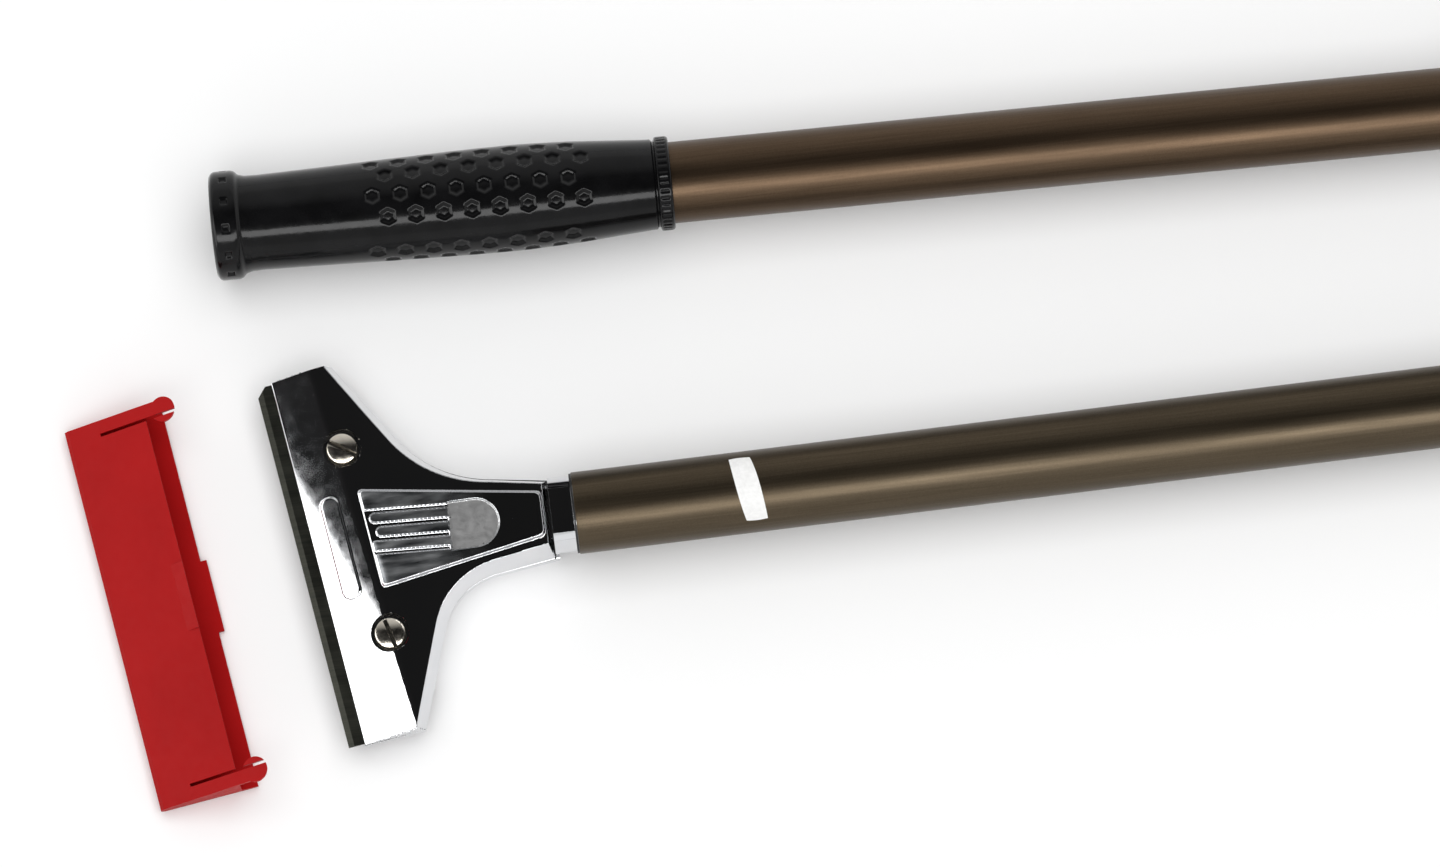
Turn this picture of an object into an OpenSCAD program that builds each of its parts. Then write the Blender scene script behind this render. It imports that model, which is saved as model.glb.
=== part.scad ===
// Algae scraper with a take-down pole, laid out for storage.
// The head section lies along +X. The grip section lies beside it, and the blade guard is off,
// in front of the blade. The origin is the middle of the flat back of the head.

/* [Handle tubes] */
// Outer diameter of both handle tubes
tube_d = 22.2; // [20.9:0.1:24]
// Wall of both handle tubes
tube_wall = 1.1; // [0.9:0.05:1.5]
// Length of the tube behind the head
head_tube_len = 406; // [300:1:900]
// Length of the tube that carries the grip
grip_tube_len = 406; // [300:1:900]

/* [Head] */
// Distance from the tube mouth to the middle of the lip
head_reach = 70.7; // [64:0.1:80]
// Sideways place of the lip's middle, to the right of the handle
lip_shift = 4.1; // [0:0.1:6]
// Angle of the blade to a square cut across the handle
blade_skew = 7.8; // [0:0.1:10]
// Half the length of the lip
lip_half = 51.3; // [50.9:0.1:65]
// Depth of the head's square ends, from the lip back to the wing corners
wing_depth = 17; // [14:0.5:20]
// Half width of the head at the neck step
waist_half = 10.7; // [10.5:0.1:12.5]
// Distance from the tube mouth to the knee of the left flank
left_knee = 37.5; // [34:0.1:40]
// Distance of the left knee from the handle's line
left_knee_half = 15.4; // [13:0.1:18]
// Radius of the left flank's bend
left_knee_r = 34; // [15:1:38]
// Distance from the tube mouth to the knee of the right flank
right_knee = 34.8; // [32:0.1:38]
// Distance of the right knee from the handle's line
right_knee_half = 14.7; // [13:0.1:18]
// Radius of the right flank's bend
right_knee_r = 19.5; // [10:0.5:24]
// Sideways place of the screws and the pad, to the left of the lip's middle
mid_shift = 1.8; // [0:0.1:3]
// Distance from the tube mouth to the origin in the head's back
back_centre = 42; // [36:1:44]

/* [Head body] */
// Height of the parting face that the jaw closes on
parting_h = 8.9; // [8:0.1:10]
// Height of the underside of the head's front
front_under = 5; // [4.9:0.1:6]
// Depth of the head's front, from the lip back to the step in its underside
front_len = 22; // [18:0.5:26]
// How far the sides of the back are cut under
undercut_in = 1.8; // [0.5:0.1:3]
// Length of the bevel under the nose
nose_len = 8; // [5:0.5:12]
// Height of the nose bevel at the lip
nose_rise = 1.6; // [1:0.1:2]
// Diameter of the round neck
neck_d = 20.8; // [19:0.1:22]
// Distance from the tube mouth to the step behind the jaw
neck_step = 6.5; // [5:0.1:9]
// Distance from the tube mouth to the front end of the round neck
neck_front = 18; // [12:0.5:24]
// Height of the flat on top of the neck above the handle's axis
neck_flat = 8.4; // [6:0.1:9]
// Length of the tang inside the tube
tang_len = 35; // [20:1:60]
// Gap between the tang and the tube's bore, all round
tang_gap = 0.05; // [0.02:0.01:0.1]
// How much wider the tube's bore is reamed for the tang, all round
tang_ream = 0.25; // [0.2:0.05:0.3]
// Half width of the locating spine under the jaw
spine_half = 5; // [3:0.5:6]
// Height of the spine above the parting face
spine_h = 3.5; // [2:0.1:4]
// Distance from the tube mouth to the front of the spine
spine_end = 46; // [30:1:47]

/* [Front jaw] */
// Height of the lip above the blade seat
lip_h = 1.6; // [1.2:0.1:2.5]
// Rise of the front bevel for each millimetre back from the lip
bevel_slope = 0.445; // [0.35:0.005:0.5]
// Rise of the rear face for each millimetre towards the tube
rear_slope = 0.11; // [0.05:0.01:0.15]
// Height of the rear face above the handle's axis, at the neck step
rear_rise = 6.4; // [5:0.1:8]
// How far the jaw's flanks lean in for each millimetre of height
side_draft = 0.26; // [0.2:0.01:0.45]
// How far the jaw's back end leans in, as a share of the flanks' lean
back_lean = 0.4; // [0.1:0.1:1]
// Gap between the jaw and the body's neck, spine and parting face
jaw_gap = 0.3; // [0.1:0.05:0.5]
// Height of the grip pad above the rear face
pad_h = 1.2; // [0.6:0.1:2]
// Half width of the pad near the neck
pad_back_half = 6; // [4:0.1:7]
// Half width of the pad near the crease
pad_front_half = 13.8; // [9:0.1:15]
// Distance from the tube mouth to the back edge of the pad
pad_back = 8.6; // [8:0.1:12]
// Depth of the pad's front edge behind the lip
pad_front = 15.4; // [14.5:0.1:20]
// Width of each rib on the pad
rib_w = 3; // [2:0.1:4]
// Width of the grooves between the ribs
groove_w = 0.85; // [0.5:0.05:1.5]
// Depth of the grooves and of the thumb hollow
groove_depth = 0.8; // [0.4:0.1:1.1]
// Distance from the tube mouth to the back ends of the grooves
groove_back = 34; // [28:0.1:40]
// Turn of the ribs from the handle's line
rib_turn = 3.5; // [0:0.5:6]
// Half height of the thumb hollow
hollow_half = 6.5; // [4:0.1:7]
// Distance from the tube mouth to the apex of the thumb hollow
hollow_apex = 20.6; // [16:0.1:24]
// Length of the plain oval raised on the bevel
oval_len = 29; // [15:1:36]
// Width of the plain oval
oval_w = 5.4; // [4:0.1:6]
// Height of the plain oval
oval_h = 0.5; // [0.3:0.1:1]
// Depth of the plain oval's middle behind the lip
oval_place = 7; // [5:0.1:8]

/* [Jaw screws] */
// Distance between the two screws along the blade
screw_span = 52.1; // [40:0.1:60]
// Depth of the screws behind the lip
screw_depth = 14.15; // [13.5:0.05:16]
// Diameter of the screw shanks
screw_d = 5; // [4:0.1:5.2]
// Diameter of the screw heads
screw_head_d = 8; // [7:0.1:9]
// Height of the straight part of a screw head
screw_head_h = 2.9; // [2:0.1:3.5]
// Height of the dome on a screw head
screw_dome_h = 0.8; // [0.4:0.1:1]
// Height of a screw's end above the underside of the head's front
screw_end = 0.3; // [0.1:0.1:1]
// Width of the driver slots
slot_w = 1.2; // [0.8:0.1:1.6]
// Depth of the driver slots
slot_depth = 1.7; // [1:0.1:2]
// Running gap round a screw in its thread
thread_gap = 0.05; // [0.02:0.01:0.1]
// Diameter of the counterbores in the jaw
counterbore_d = 10.3; // [9.5:0.1:11]
// Height of the counterbore floor above the parting face
counterbore_floor = 2.6; // [2:0.1:3]
// Thickness of the washer under each screw head
washer_h = 0.8; // [0.5:0.1:1.2]

/* [Blade] */
// Length of the blade
blade_len = 101.6; // [80:0.1:101.8]
// Depth of the blade from edge to back
blade_depth = 15.6; // [12:0.1:15.8]
// Thickness of the blade
blade_t = 0.75; // [0.5:0.05:1]
// How far the edge stands out past the lip
blade_out = 4.4; // [3:0.1:6]
// Gap above and below the clamped blade
blade_gap = 0.025; // [0.01:0.005:0.05]
// Width of the ground edge
grind_w = 1.6; // [0.8:0.1:2.5]
// Size of the cut corner at the blade's end
corner_cut = 2.6; // [1:0.1:5]

/* [Blade guard] */
// Depth of the guard's top wall
guard_depth = 22.5; // [18:0.5:26]
// Height of the guard at its closed edge
guard_low = 3.9; // [3.2:0.1:5]
// Height of the guard at its opening
guard_high = 13.6; // [13.4:0.1:16]
// Wall of the guard
guard_wall = 1.6; // [1.2:0.1:1.8]
// Gap between the guard's ends and the head's ends
guard_side_gap = 0.6; // [0.3:0.1:1]
// How far the bottom wall reaches past the top wall
guard_under = 4.5; // [3:0.1:5]
// Length of the finger tab in the middle of the bottom wall
tab_len = 20; // [12:1:40]
// How far the finger tab stands out
tab_out = 1.6; // [1:0.1:2.5]
// Length of the thumb ledge on the top wall
ledge_len = 18.6; // [10:0.5:30]
// Width of the thumb ledge
ledge_w = 3.2; // [2:0.1:5]
// Height of the thumb ledge
ledge_h = 0.8; // [0.4:0.1:1.5]
// Width of the snap strips at the ends
strip_w = 4; // [3:0.5:6]
// How far the snap strips stand out past the top wall
strip_out = 8.5; // [6:0.1:10]
// Diameter of the lobes at the ends of the strips
lobe_d = 6.7; // [5:0.1:8]
// Width of the slits beside the strips
slit_w = 0.9; // [0.6:0.1:2]
// Length of the slits beside the strips
slit_len = 13; // [8:0.5:18]
// Depth that the guard's top wall reaches over the lip when it is on
guard_over = 8.6; // [6:0.1:8.8]
// How far the guard slides from where it lies to its place on the blade
guard_travel = 43.8; // [35:0.1:90]

/* [Tang pin, neck seal and label] */
// Diameter of the pin that holds the tube on the tang
pin_d = 4; // [3:0.1:5]
// Length of the pin
pin_len = 14; // [8:0.5:18]
// Distance from the tube mouth to the pin
pin_place = 18; // [10:1:30]
// Thickness of the seal between the neck and the tube
seal_t = 0.6; // [0.3:0.1:1]
// How far the seal stays inside the tube's outer face
seal_inset = 0.3; // [0.1:0.1:0.6]
// Length of the label along the tube
label_len = 8; // [6:0.5:12]
// Width of the label round the tube
label_wide = 20; // [12:0.5:22]
// Thickness of the label
label_t = 0.12; // [0.08:0.01:0.2]
// Distance from the tube mouth to the middle of the label
label_place = 47; // [30:1:120]
// Turn of the label on the tube
label_turn = -3; // [-10:1:10]

/* [Hand grip] */
// Length of the grip with its flange
grip_len = 125; // [100:1:160]
// Diameter of the flange at the grip's end
flange_d = 29.7; // [28:0.1:34]
// Thickness of the flange
flange_t = 7.3; // [5:0.1:10]
// Diameter of the grip next to the flange
grip_root_d = 26; // [25:0.1:29]
// Diameter at the palm swell
grip_swell_d = 29; // [27:0.1:32]
// Diameter at the front of the swell
grip_front_d = 24.6; // [24:0.1:27]
// Diameter of the collar at the front of the grip
collar_d = 25.7; // [24.5:0.1:28]
// Length of the collar
collar_len = 3.9; // [2:0.1:6]
// Width of the groove behind the collar
collar_groove = 0.8; // [0.4:0.1:1.5]
// Diameter of the end plug's face
plug_d = 26; // [24:0.1:28]
// Thickness of the end plug's face
plug_face = 2.3; // [1.5:0.1:4]
// Length of the plug inside the tube
plug_len = 15; // [8:1:30]

/* [Joining sleeve] */
// Length of the sleeve that joins the two tubes
sleeve_len = 60; // [40:1:90]
// Running gap between the sleeve and the tubes, all round
sleeve_gap = 0.08; // [0.03:0.01:0.1]
// Width of each plain band at the sleeve's ends
sleeve_band = 7; // [4:0.5:10]
// Diameter of the sleeve between its end bands
sleeve_mid_d = 27.4; // [26:0.1:28]
// Diameter of the thumb screws' shanks
thumb_d = 5; // [4:0.1:6]
// Diameter of the thumb screws' knurled heads
thumb_head_d = 12; // [10:0.5:16]
// Height of the knurled heads
thumb_head_h = 7; // [5:0.5:10]
// Diameter of the bosses that the thumb screws turn in
boss_d = 11; // [9:0.5:13]
// Height of the bosses above the middle of the sleeve
boss_h = 2.2; // [1.5:0.1:4]
// Gap between a loose thumb screw and the tube
thumb_tip_gap = 0.3; // [0.1:0.1:1]

/* [Layout] */
// Distance of the grip's end from the head tube's axis
lay_gap = 90.5; // [75:0.5:150]
// Position of the grip's end along the head tube
lay_x = -46; // [-80:1:0]
// Angle between the two tubes as laid down
lay_angle = 1.5; // [0:0.1:3]

/* [Hidden] */
$fn = 72;
eps = 0.02;
knee_steps = 14;
knurl_count = 36;
axis_h = flange_d / 2;
tube_r = tube_d / 2;
bore_r = tube_r - tube_wall;
seat_h = parting_h - blade_t - blade_gap;
blade_z = seat_h + blade_gap;
jaw_z = blade_z + blade_t + blade_gap;
lip_z = seat_h + lip_h;
rear_z = axis_h + rear_rise;
block_top = rear_z + pad_h + 4;
jaw_back = neck_step + jaw_gap;
screw_seat = parting_h + counterbore_floor;
rib_pitch = rib_w + groove_w;
mouth_x = back_centre;
guard_half = lip_half + guard_side_gap + guard_wall;
guard_open = guard_over - guard_travel;
guard_closed = guard_open - guard_depth;
guard_slope = (guard_high - guard_low) / guard_depth;
grip_end_x = plug_face + grip_tube_len;
sleeve_bore = tube_r + sleeve_gap;
colours = ["silver", "goldenrod", "firebrick", "dimgray", "rosybrown"];

// ---- outlines of the head ----

// A place in plan: d behind the lip and t to the left of its middle, square to the blade
function lip_point(d, t) = [
  back_centre - head_reach + d * cos(blade_skew) - t * sin(blade_skew),
  d * sin(blade_skew) + t * cos(blade_skew) - lip_shift
];

function unit(v) = v / norm(v);
function left_of(v) = [-v[1], v[0]];

// The bend that rounds corner b between a and c with radius r, as points from a's side to c's
function bend(a, b, c, r) =
  let (
    u = unit(a - b),
    v = unit(c - b),
    half = acos(u * v) / 2,
    centre = b + unit(u + v) * r / sin(half),
    p = b + u * r / tan(half) - centre,
    q = b + v * r / tan(half) - centre,
    from = atan2(p[1], p[0]),
    sweep = (atan2(q[1], q[0]) - from + 540) % 360 - 180
  )
  [
    for (i = [0 : knee_steps])
      let (angle = from + sweep * i / knee_steps) centre + r * [cos(angle), sin(angle)]
  ];

// One side of the head's outline from the neck to the lip; side is 1 on the left
function side_outline(start, side, knee, knee_half, knee_r) =
  let (
    neck = [back_centre - start, side * waist_half],
    corner = [back_centre - knee, side * knee_half],
    wing = lip_point(wing_depth, side * lip_half)
  )
  concat([neck], bend(neck, corner, wing, knee_r), [wing, lip_point(0, side * lip_half)]);

// Whole outline, counter-clockwise from above
function head_outline(start) =
  let (
    left = side_outline(start, 1, left_knee, left_knee_half, left_knee_r),
    right = side_outline(start, -1, right_knee, right_knee_half, right_knee_r),
    last = len(right) - 1
  )
  concat(left, [for (i = [0 : last]) right[last - i]]);

// How far each side of the outline leans: the flanks lean in full, the square ends and the lip
// stand upright, and the back end leans by its own share
function side_leans(back) =
  let (flank = [for (i = [0 : knee_steps + 1]) 1])
  concat(flank, [0, 0, 0], flank, [back]);

// Corner i of an outline moved inwards by d times the lean of each side that meets there
function inset_point(pts, leans, i, d) =
  let (
    n = len(pts),
    before = (i + n - 1) % n,
    a = left_of(unit(pts[i] - pts[before])),
    b = left_of(unit(pts[(i + 1) % n] - pts[i])),
    da = d * leans[before],
    db = d * leans[i],
    c = a * b
  )
  pts[i] + (a * (da - c * db) + b * (db - c * da)) / (1 - c * c);

// Closed block on the head's outline; each level is [height, inset]. The end faces are strips
// across the handle, since the outline is hollow at its flanks.
module levels_block(pts, back, levels) {
  n = len(pts);
  leans = side_leans(back);
  top = len(levels) - 1;
  strips = n / 2 - 2;
  polyhedron(
    points = [
      for (level = levels)
        for (i = [0 : n - 1])
          let (p = inset_point(pts, leans, i, level[1])) [p[0], p[1], level[0]]
    ],
    faces = concat(
      [for (i = [0 : strips]) [i, i + 1, n - 2 - i, n - 1 - i]],
      [for (i = [0 : strips]) [n - 1 - i, n - 2 - i, i + 1, i] + top * n * [1, 1, 1, 1]],
      [
        for (k = [0 : top - 1])
          for (i = [0 : n - 1])
            let (j = (i + 1) % n) [k * n + i, k * n + n + i, k * n + n + j, k * n + j]
      ]
    ),
    convexity = 6
  );
}

// ---- placing ----

// Middle of the lip, with +X back along the blade's own square
module at_lip() {
  middle = lip_point(0, 0);
  translate([middle[0], middle[1], 0])
    rotate([0, 0, blade_skew])
      children();
}

module at_screw(side) {
  at_lip()
    translate([screw_depth, mid_shift + side * screw_span / 2, 0])
      children();
}

// A cylinder along +X from x0 to x1 on the head tube's axis
module along(x0, x1, r) {
  translate([x0, 0, axis_h])
    rotate([0, 90, 0])
      cylinder(h = x1 - x0, r = r);
}

// The grip section's own frame: +X from its end plug to its far end
module on_grip_section() {
  translate([lay_x, lay_gap, axis_h])
    rotate([0, 0, -lay_angle])
      children();
}

// A turned solid along +X from a profile of [x, radius] points
module turned(profile) {
  rotate([90, 0, 90])
    rotate_extrude()
      polygon([for (p = profile) [p[1], p[0]]]);
}

// ---- head section ----

module head_body() {
  color(colours[0])
    difference() {
      union() {
        difference() {
          levels_block(
            head_outline(neck_step - 1), 1,
            [[0, undercut_in], [front_under, 0], [parting_h, 0]]
          );
          blade_seat();
          front_underside();
        }
        neck();
        spine(0);
      }
      for (side = [-1, 1])
        at_screw(side)
          translate([0, 0, -1])
            cylinder(h = parting_h * 2, d = screw_d + 2 * thread_gap);
      pin_hole();
    }
}

// Pocket for the blade, open at the front and at both ends
module blade_seat() {
  at_lip()
    translate([-head_reach, -lip_half * 1.5, seat_h])
      cube([head_reach + blade_depth - blade_out + 0.1, lip_half * 3, parting_h]);
}

// The front is raised off the back face, with a bevel under the nose
module front_underside() {
  at_lip() {
    translate([-head_reach, -lip_half * 1.5, -1])
      cube([head_reach + front_len, lip_half * 3, front_under + 1]);
    translate([nose_len, 0, front_under])
      rotate([0, atan(nose_rise / nose_len), 0])
        translate([-nose_len * 2, -lip_half * 1.5, -nose_len])
          cube([nose_len * 2, lip_half * 3, nose_len]);
  }
}

module neck() {
  difference() {
    union() {
      along(mouth_x - neck_step, mouth_x - seal_t, neck_d / 2);
      along(mouth_x - seal_t - eps, mouth_x + tang_len, bore_r + tang_ream - tang_gap);
      intersection() {
        along(mouth_x - neck_front, mouth_x - neck_step + eps, neck_d / 2);
        translate([mouth_x - 2 * neck_front, -tube_d, 0])
          cube([2 * neck_front, 2 * tube_d, parting_h]);
      }
    }
    translate([mouth_x - 2 * neck_front, -tube_d, axis_h + neck_flat])
      cube([2 * neck_front - seal_t, 2 * tube_d, tube_d]);
  }
}

// Locating rib in the middle of the parting face, with room round it where gap is given
module spine(gap) {
  translate([mouth_x - spine_end - gap, -spine_half - gap, seat_h])
    cube([
      spine_end - neck_step + gap + eps,
      2 * (spine_half + gap),
      parting_h - seat_h + spine_h + gap
    ]);
}

module pin_hole() {
  translate([mouth_x + pin_place, 0, axis_h - tube_r - 1])
    cylinder(h = pin_len + 1.2, d = pin_d);
}

module front_jaw() {
  top = block_top - jaw_z;
  color(colours[0])
    difference() {
      union() {
        difference() {
          levels_block(
            head_outline(jaw_back), back_lean,
            [[jaw_z, 0], [block_top, top * side_draft]]
          );
          above_bevel(0);
          above_rear_face(0);
        }
        plain_oval();
        pad();
      }
      spine(jaw_gap);
      for (side = [-1, 1])
        at_screw(side) {
          cylinder(h = block_top * 2, d = screw_d + 2 * jaw_gap);
          translate([0, 0, screw_seat])
            cylinder(h = block_top, d = counterbore_d);
        }
    }
}

// Everything above the front bevel raised by lift
module above_bevel(lift) {
  at_lip()
    translate([0, 0, lip_z + lift])
      rotate([0, -atan(bevel_slope), 0])
        translate([-head_reach, -lip_half * 2, 0])
          cube([head_reach * 2.4, lip_half * 4, block_top]);
}

// Everything above the rear face raised by lift
module above_rear_face(lift) {
  translate([mouth_x - neck_step, 0, rear_z + lift])
    rotate([0, -atan(rear_slope), 0])
      translate([-head_reach * 2, -lip_half * 2, 0])
        cube([head_reach * 2.4, lip_half * 4, block_top]);
}

// Plain oval standing on the bevel between the screws
module plain_oval() {
  difference() {
    at_lip()
      translate([oval_place, mid_shift, seat_h + 1])
        linear_extrude(block_top)
          union() {
            square([oval_w, oval_len - oval_w], center = true);
            for (side = [-1, 1])
              translate([0, side * (oval_len - oval_w) / 2])
                circle(d = oval_w);
          }
    above_bevel(oval_h);
  }
}

module pad() {
  difference() {
    translate([0, 0, jaw_z + 1])
      linear_extrude(block_top)
        polygon([
          [mouth_x - pad_back, -pad_back_half],
          [mouth_x - pad_back, pad_back_half],
          lip_point(pad_front, mid_shift + pad_front_half),
          lip_point(pad_front, mid_shift - pad_front_half)
        ]);
    above_rear_face(pad_h);
    pad_cuts();
  }
}

// Four grooves that leave three ribs, and the thumb hollow behind them
module pad_cuts() {
  intersection() {
    union() {
      translate([mouth_x - groove_back, 0, 0])
        rotate([0, 0, -rib_turn])
          for (i = [-1.5 : 1 : 1.5])
            translate([-head_reach, i * rib_pitch - groove_w / 2, 0])
              cube([head_reach, groove_w, block_top * 2]);
      thumb_hollow();
    }
    above_rear_face(pad_h - groove_depth);
  }
}

module thumb_hollow() {
  intersection() {
    round_x = mouth_x - hollow_apex - hollow_half;
    union() {
      translate([round_x, 0, 0])
        cylinder(h = block_top * 2, r = hollow_half);
      translate([mouth_x - groove_back, -hollow_half, 0])
        cube([groove_back - hollow_apex - hollow_half, hollow_half * 2, block_top * 2]);
    }
    translate([mouth_x - groove_back, -lip_half, 0])
      cube([groove_back, lip_half * 2, block_top * 2]);
  }
}

// Slotted screw with a shallow domed head
module jaw_screw(turn) {
  seat = screw_seat + washer_h;
  dome_r = (pow(screw_head_d / 2, 2) + pow(screw_dome_h, 2)) / (2 * screw_dome_h);
  difference() {
    union() {
      translate([0, 0, front_under + screw_end])
        cylinder(h = seat - front_under - screw_end + eps, d = screw_d);
      translate([0, 0, seat])
        cylinder(h = screw_head_h, d = screw_head_d);
      translate([0, 0, seat + screw_head_h])
        intersection() {
          translate([0, 0, screw_dome_h - dome_r])
            sphere(r = dome_r);
          cylinder(h = screw_dome_h, d = screw_head_d);
        }
    }
    rotate([0, 0, turn])
      translate([-screw_head_d, -slot_w / 2, seat + screw_head_h + screw_dome_h - slot_depth])
        cube([screw_head_d * 2, slot_w, slot_depth * 2]);
  }
}

module screw_washer() {
  translate([0, 0, screw_seat])
    difference() {
      cylinder(h = washer_h, d = screw_head_d + 0.8);
      translate([0, 0, -1])
        cylinder(h = washer_h + 2, d = screw_d + 2 * thread_gap);
    }
}

module upper_screw() {
  color(colours[4])
    at_screw(1)
      jaw_screw(-40);
}

module lower_screw() {
  color(colours[4])
    at_screw(-1)
      jaw_screw(98);
}

module upper_washer() {
  color(colours[0])
    at_screw(1)
      screw_washer();
}

module lower_washer() {
  color(colours[0])
    at_screw(-1)
      screw_washer();
}

module scraper_blade() {
  back = blade_depth - blade_out;
  color(colours[3])
    at_lip()
      difference() {
        translate([0, 0, blade_z])
          linear_extrude(blade_t)
            polygon([
              [-blade_out, -blade_len / 2],
              [back, -blade_len / 2],
              [back, blade_len / 2],
              [corner_cut - blade_out, blade_len / 2],
              [-blade_out, blade_len / 2 - corner_cut]
            ]);
        // the ground edge falls to the underside
        translate([-blade_out, 0, blade_z + 0.1])
          rotate([0, -atan((blade_t - 0.1) / grind_w), 0])
            translate([-blade_depth, -blade_len, 0])
              cube([blade_depth * 2, blade_len * 2, blade_depth]);
      }
}

module blade_guard() {
  color(colours[2])
    at_lip()
      difference() {
        union() {
          guard_walls();
          for (side = [-1, 1])
            snap_strip(side);
          thumb_ledge();
        }
        for (side = [-1, 1])
          translate([
            guard_open - slit_len,
            side * (guard_half - strip_w) - slit_w / 2,
            guard_low
          ])
            cube([slit_len * 2, slit_w, guard_high * 2]);
      }
}

// A wall of the guard from t0 to t1 along the blade, from a profile of [x, z] points
module guard_wall_from(profile, t0, t1) {
  translate([0, t1, 0])
    rotate([90, 0, 0])
      linear_extrude(t1 - t0)
        polygon(profile);
}

// Height of the guard's outside at x
function guard_top(x) = guard_low + guard_slope * (x - guard_closed);

module guard_walls() {
  wall = guard_wall;
  tab_x = guard_open + guard_under;
  difference() {
    guard_wall_from(
      [
        [guard_closed, 1], [guard_closed + 1, 0], [guard_open, 0],
        [guard_open, guard_high], [guard_closed + 1, guard_top(guard_closed + 1)],
        [guard_closed, guard_low - 0.8]
      ],
      -guard_half, guard_half
    );
    guard_wall_from(
      [
        [guard_closed + wall, wall], [guard_open + 1, wall],
        [guard_open + 1, guard_top(guard_open + 1) - wall],
        [guard_closed + wall, guard_top(guard_closed + wall) - wall]
      ],
      -guard_half + wall, guard_half - wall
    );
  }
  translate([guard_open - eps, -guard_half, 0])
    cube([guard_under + eps, guard_half * 2, wall]);
  translate([tab_x - eps, -tab_len / 2, 0])
    cube([tab_out + eps, tab_len, wall]);
}

// The end strip of the top wall, carried past the opening to a round lobe
module snap_strip(side) {
  lobe_x = guard_open + strip_out - lobe_d / 2;
  intersection() {
    guard_wall_from(
      [
        [guard_open - 1, guard_top(guard_open - 1)],
        [guard_open - 1, guard_top(guard_open - 1) - guard_wall],
        [guard_open + strip_out + 1, guard_top(guard_open + strip_out + 1) - guard_wall],
        [guard_open + strip_out + 1, guard_top(guard_open + strip_out + 1)]
      ],
      -guard_half * 1.2, guard_half * 1.2
    );
    union() {
      translate([guard_open - 1, side * (guard_half - strip_w / 2) - strip_w / 2, 0])
        cube([lobe_x - guard_open + 1, strip_w, guard_high * 2]);
      translate([lobe_x, side * (guard_half - lobe_d / 2 + 0.6), 0])
        cylinder(h = guard_high * 2, d = lobe_d);
    }
  }
}

module thumb_ledge() {
  x0 = guard_open - ledge_w;
  guard_wall_from(
    [
      [x0, guard_top(x0) - 0.5], [guard_open, guard_high - 0.5],
      [guard_open, guard_high + ledge_h], [x0, guard_top(x0)]
    ],
    -ledge_len / 2, ledge_len / 2
  );
}

module head_tube() {
  color(colours[4])
    difference() {
      along(mouth_x, mouth_x + head_tube_len, tube_r);
      along(mouth_x - 1, mouth_x + head_tube_len + 1, bore_r);
      along(mouth_x - 1, mouth_x + tang_len + 1, bore_r + tang_ream);
      pin_hole();
    }
}

module tang_pin() {
  color(colours[0])
    translate([mouth_x + pin_place, 0, axis_h - tube_r + 0.15])
      cylinder(h = pin_len, d = pin_d);
}

module neck_seal() {
  color(colours[3])
    difference() {
      along(mouth_x - seal_t + eps, mouth_x - eps, tube_r - seal_inset);
      along(mouth_x - 1, mouth_x + 1, bore_r + tang_ream);
    }
}

module origin_label() {
  color("white")
    intersection() {
      difference() {
        along(mouth_x, mouth_x + head_tube_len, tube_r + 0.01 + label_t);
        along(mouth_x - 1, mouth_x + head_tube_len + 1, tube_r + 0.01);
      }
      translate([mouth_x + label_place, 0, axis_h])
        rotate([0, 0, label_turn])
          linear_extrude(tube_d)
            label_outline();
    }
}

// A rectangle with bowed long sides
module label_outline() {
  bow = label_len;
  intersection() {
    square([label_len, label_wide], center = true);
    for (side = [-1, 1])
      translate([side * (label_wide * 1.5 - bow / 2), 0])
        circle(r = label_wide * 1.5, $fn = 120);
  }
}

// ---- grip section ----

module grip_tube() {
  color(colours[4])
    on_grip_section()
      turned([
        [plug_face, bore_r], [plug_face, tube_r], [grip_end_x, tube_r], [grip_end_x, bore_r]
      ]);
}

module hand_grip() {
  end = plug_face + grip_len;
  flange_end = plug_face + flange_t;
  neck_x = end - collar_len - collar_groove;
  swell_x = plug_face + grip_len * 0.61;
  color(colours[3])
    on_grip_section()
      turned(concat(
        [
          [plug_face, tube_r],
          [plug_face, flange_d / 2 - 1.2],
          [plug_face + 1.2, flange_d / 2],
          [flange_end - 1, flange_d / 2],
          [flange_end, flange_d / 2 - 1],
          [flange_end + 0.6, grip_root_d / 2]
        ],
        [
          for (i = [1 : 11])
            let (t = i / 12)
            [
              flange_end + (swell_x - flange_end) * t,
              (grip_root_d + (grip_swell_d - grip_root_d) * pow(t, 1.7)) / 2
            ]
        ],
        [
          for (i = [0 : 12])
            let (t = i / 12)
            [
              swell_x + (neck_x - swell_x) * t,
              (grip_swell_d + (grip_front_d - grip_swell_d) * t * t) / 2
            ]
        ],
        [
          [neck_x, grip_front_d / 2 - 0.6],
          [neck_x + collar_groove, grip_front_d / 2 - 0.6],
          [neck_x + collar_groove, collar_d / 2],
          [end, collar_d / 2],
          [end, tube_r]
        ]
      ));
}

module grip_end_plug() {
  color(colours[3])
    on_grip_section()
      turned([
        [0, 0], [0, plug_d / 2 - 1], [1, plug_d / 2], [plug_face, plug_d / 2],
        [plug_face, bore_r], [plug_face + plug_len, bore_r], [plug_face + plug_len, 0]
      ]);
}

// ---- joining sleeve ----

// A place on the sleeve, as a share of its length from its free end
module on_sleeve(share) {
  on_grip_section()
    translate([grip_end_x - sleeve_len * share, 0, 0])
      children();
}

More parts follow.
